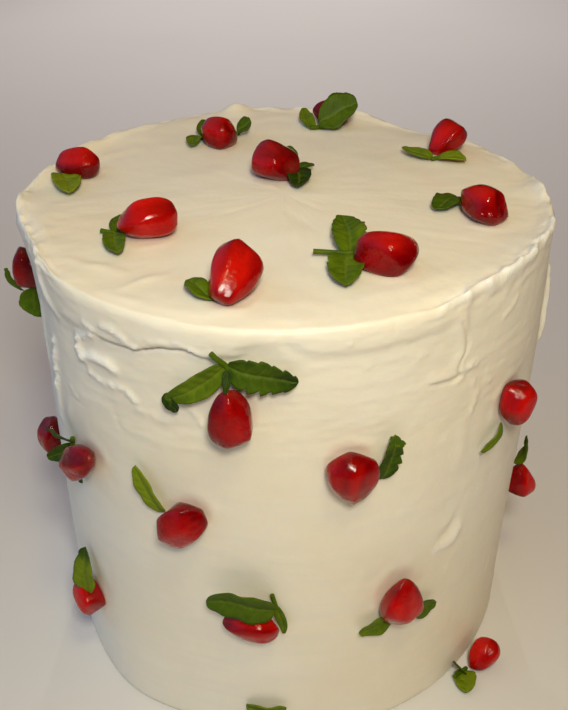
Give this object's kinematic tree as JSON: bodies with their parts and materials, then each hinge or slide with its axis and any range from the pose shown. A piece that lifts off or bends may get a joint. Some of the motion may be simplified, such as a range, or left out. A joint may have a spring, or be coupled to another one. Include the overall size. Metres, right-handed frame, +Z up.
{
  "type": "carrot cake",
  "caption": "Tall round uncut layer cake covered in hand-spread cream frosting, with pomegranate arils and small mint sprigs over its top and wall.",
  "frame": {"origin": "centre of the cake's foot, on the plane that it rests on", "axes": "+Z up, -Y towards the front that the picture shows, +X to its right"},
  "size_m": [0.1289, 0.127, 0.1208],
  "materials": {
    "frosting": "soft cream",
    "aril": "wet, translucent",
    "leaf": "fresh leaf"
  },
  "bodies": {
    "root": {"cake": "frosting", "aril_top_01": "aril", "aril_top_02": "aril", "aril_top_03": "aril", "aril_top_04": "aril", "aril_top_05": "aril", "aril_top_06": "aril", "aril_top_07": "aril", "aril_top_08": "aril", "aril_top_09": "aril", "sprig_top_01": "leaf", "sprig_top_02": "leaf", "sprig_top_03": "leaf", "sprig_top_04": "leaf", "sprig_top_05": "leaf", "sprig_top_06": "leaf", "sprig_top_07": "leaf", "sprig_top_08": "leaf", "sprig_top_09": "leaf", "aril_wall_01": "aril", "aril_wall_02": "aril", "aril_wall_03": "aril", "aril_wall_04": "aril", "aril_wall_05": "aril", "aril_wall_06": "aril", "aril_wall_07": "aril", "aril_wall_08": "aril", "aril_wall_09": "aril", "aril_wall_10": "aril", "aril_wall_11": "aril", "aril_wall_12": "aril", "aril_wall_13": "aril", "aril_wall_14": "aril", "sprig_wall_01": "leaf", "sprig_wall_02": "leaf", "sprig_wall_03": "leaf", "sprig_wall_04": "leaf", "sprig_wall_05": "leaf", "sprig_wall_06": "leaf", "sprig_wall_07": "leaf", "sprig_wall_08": "leaf", "sprig_wall_09": "leaf", "sprig_wall_10": "leaf", "sprig_wall_11": "leaf", "sprig_wall_12": "leaf", "sprig_wall_13": "leaf", "sprig_wall_14": "leaf", "garnish_back_01": "aril", "garnish_back_02": "aril", "garnish_back_03": "aril", "garnish_back_04": "aril", "garnish_back_05": "aril", "garnish_back_06": "aril", "garnish_back_07": "aril", "garnish_back_08": "aril", "garnish_back_09": "aril", "garnish_back_10": "aril", "garnish_back_11": "aril", "garnish_back_12": "aril"}
  },
  "joints": []
}
